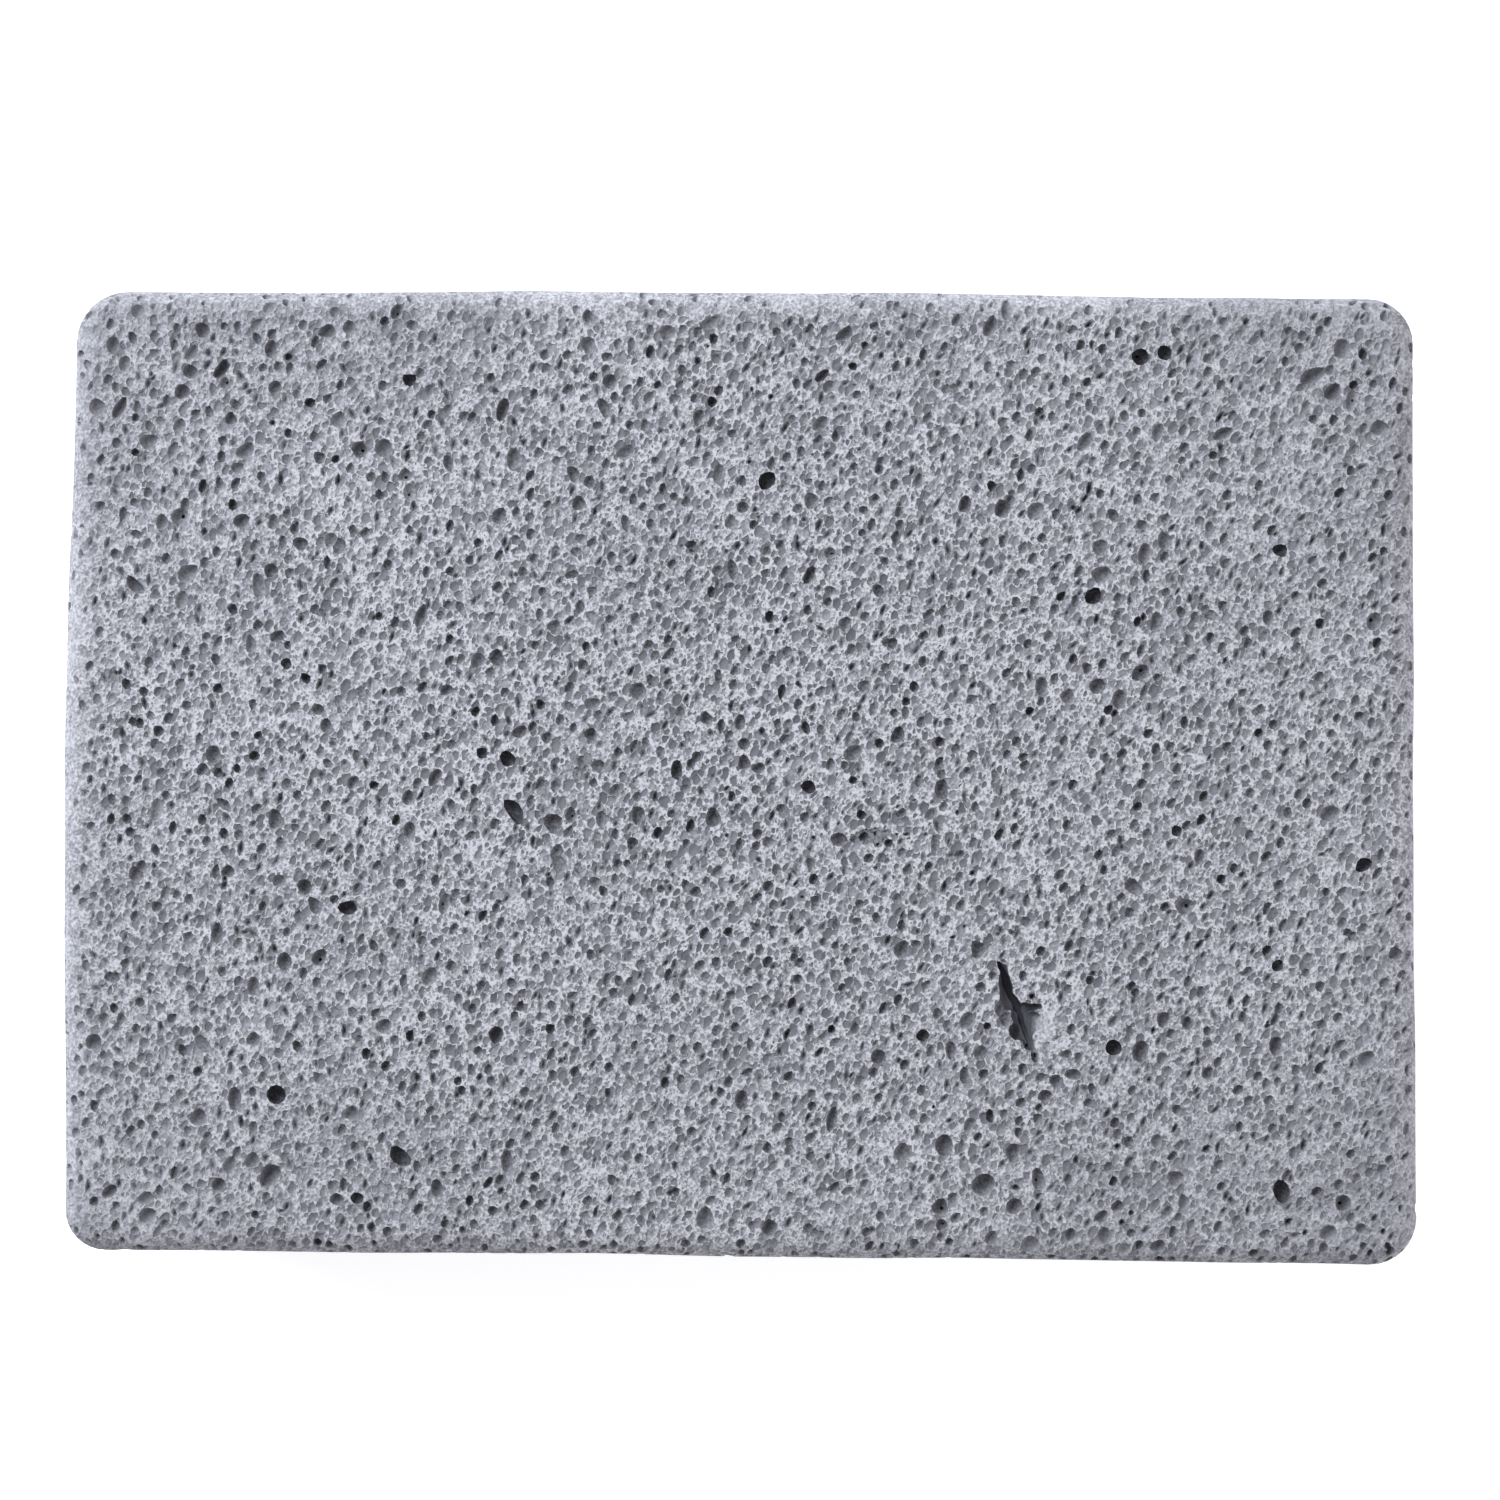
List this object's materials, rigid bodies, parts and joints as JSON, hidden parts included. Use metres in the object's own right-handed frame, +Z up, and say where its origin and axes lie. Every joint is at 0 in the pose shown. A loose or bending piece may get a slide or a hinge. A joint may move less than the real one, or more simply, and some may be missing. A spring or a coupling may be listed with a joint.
{
  "type": "grill stone",
  "caption": "Hand-sized oblong block of light grey foamed stone with worn corners and rims, pitted all over with open bubbles, for scouring a grill or griddle.",
  "frame": {"origin": "middle of the block's box at the face it lies on", "axes": "+X along the length, +Y across the width towards the top of the picture, +Z up through the thickness to the worked face"},
  "size_m": [0.1, 0.072, 0.035],
  "materials": {
    "stone": "matt, powdery foamed stone, pale grey with a faint blue tint, pitted with darker open bubbles"
  },
  "bodies": {
    "root": {"stone": "stone"}
  },
  "joints": []
}
